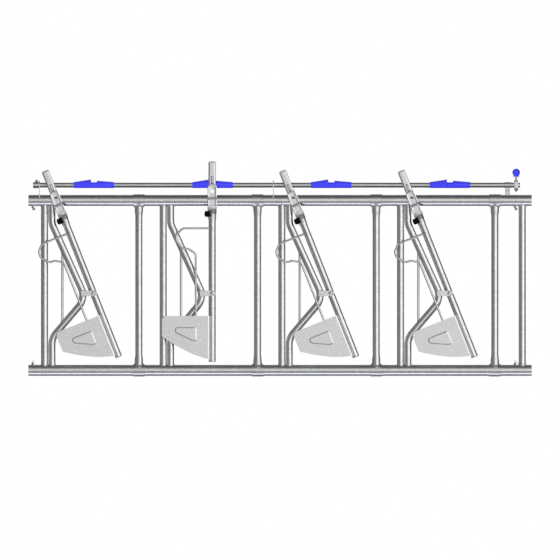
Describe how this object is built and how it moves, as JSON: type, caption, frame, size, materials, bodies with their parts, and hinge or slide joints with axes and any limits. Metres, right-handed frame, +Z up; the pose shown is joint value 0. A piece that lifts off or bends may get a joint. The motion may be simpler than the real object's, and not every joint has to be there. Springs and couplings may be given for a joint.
{
  "type": "self-locking cattle headlock panel",
  "caption": "Feed barrier panel of rails and posts, with swinging yoke gates beside bent neck tubes, latch forks over a shared release bar with catches, and a ball-knob handle.",
  "frame": {"origin": "middle of the lower rail's axis", "axes": "+X along the rails to the handle's end, +Y from the feeding side to the animals' side, +Z up"},
  "size_m": [3, 0.0928, 1.2815],
  "materials": {
    "galvanised_tube": "hot-dip galvanised, satin",
    "galvanised_casting": "hot-dip galvanised casting, dull",
    "pressed_sheet": "galvanised sheet, pale satin",
    "plated_fastener": "zinc plated",
    "blue_plastic": "moulded, glossy",
    "black_rubber": "matt"
  },
  "bodies": {
    "panel_frame": {"top_rail": "galvanised_tube", "bottom_rail": "galvanised_tube", "side_post_1": "galvanised_tube", "side_post_2": "galvanised_tube", "side_post_3": "galvanised_tube", "side_post_4": "galvanised_tube", "divider_post_1": "galvanised_tube", "divider_post_2": "galvanised_tube", "divider_post_3": "galvanised_tube", "divider_post_4": "galvanised_tube", "end_post": "galvanised_tube", "neck_tube_1": "galvanised_tube", "neck_tube_2": "galvanised_tube", "neck_tube_3": "galvanised_tube", "neck_tube_4": "galvanised_tube", "lower_tee_1": "galvanised_casting", "lower_tee_2": "galvanised_casting", "lower_tee_3": "galvanised_casting", "lower_tee_4": "galvanised_casting", "upper_tee_1": "galvanised_casting", "upper_tee_2": "galvanised_casting", "upper_tee_3": "galvanised_casting", "upper_tee_4": "galvanised_casting", "pivot_bolt_1": "plated_fastener", "pivot_bolt_2": "plated_fastener", "pivot_bolt_3": "plated_fastener", "pivot_bolt_4": "plated_fastener", "left_bearing_plate": "pressed_sheet", "middle_bearing_plate": "pressed_sheet", "end_bearing": "galvanised_casting"},
    "release_bar": {"release_bar": "galvanised_tube", "catch_1": "blue_plastic", "catch_2": "blue_plastic", "catch_3": "blue_plastic", "catch_4": "blue_plastic", "stop_collar": "galvanised_tube", "stop_screw": "plated_fastener", "handle_block": "galvanised_tube", "handle_stud": "plated_fastener", "ball_knob": "blue_plastic"},
    "gate_1": {"gate_tube_1": "galvanised_tube", "latch_fork_1": "pressed_sheet", "stop_buffer_1": "black_rubber", "neck_guard_1": "pressed_sheet"},
    "gate_2": {"gate_tube_2": "galvanised_tube", "latch_fork_2": "pressed_sheet", "stop_buffer_2": "black_rubber", "neck_guard_2": "pressed_sheet"},
    "gate_3": {"gate_tube_3": "galvanised_tube", "latch_fork_3": "pressed_sheet", "stop_buffer_3": "black_rubber", "neck_guard_3": "pressed_sheet"},
    "gate_4": {"gate_tube_4": "galvanised_tube", "latch_fork_4": "pressed_sheet", "stop_buffer_4": "black_rubber", "neck_guard_4": "pressed_sheet"},
    "tooth_1": {"latch_tooth_1": "plated_fastener"},
    "tooth_2": {"latch_tooth_2": "plated_fastener"},
    "tooth_3": {"latch_tooth_3": "plated_fastener"},
    "tooth_4": {"latch_tooth_4": "plated_fastener"}
  },
  "joints": [
    {"name": "release_bar_turn", "type": "hinge", "parent": "panel_frame", "child": "release_bar", "pos_m": [0, 0, 1.1036], "axis": [-1, 0, 0], "range_deg": [0, 85]},
    {"name": "gate_1_swing", "type": "hinge", "parent": "panel_frame", "child": "gate_1", "pos_m": [-1.1118, 0, 0.4592], "axis": [0, 1, 0], "range_deg": [0, 21.61]},
    {"name": "gate_2_swing", "type": "hinge", "parent": "panel_frame", "child": "gate_2", "pos_m": [-0.4046, 0, 0.4592], "axis": [0, 1, 0], "range_deg": [-21.61, 0]},
    {"name": "gate_3_swing", "type": "hinge", "parent": "panel_frame", "child": "gate_3", "pos_m": [0.3026, 0, 0.4592], "axis": [0, 1, 0], "range_deg": [0, 21.61]},
    {"name": "gate_4_swing", "type": "hinge", "parent": "panel_frame", "child": "gate_4", "pos_m": [1.0098, 0, 0.4592], "axis": [0, 1, 0], "range_deg": [0, 21.61]},
    {"name": "tooth_1_drop", "type": "slide", "parent": "gate_1", "child": "tooth_1", "axis": [-0.3682, 0, 0.9297], "range_m": [-0.027, 0]},
    {"name": "tooth_2_drop", "type": "slide", "parent": "gate_2", "child": "tooth_2", "axis": [0, 0, 1], "range_m": [-0.027, 0]},
    {"name": "tooth_3_drop", "type": "slide", "parent": "gate_3", "child": "tooth_3", "axis": [-0.3682, 0, 0.9297], "range_m": [-0.027, 0]},
    {"name": "tooth_4_drop", "type": "slide", "parent": "gate_4", "child": "tooth_4", "axis": [-0.3682, 0, 0.9297], "range_m": [-0.027, 0]}
  ]
}
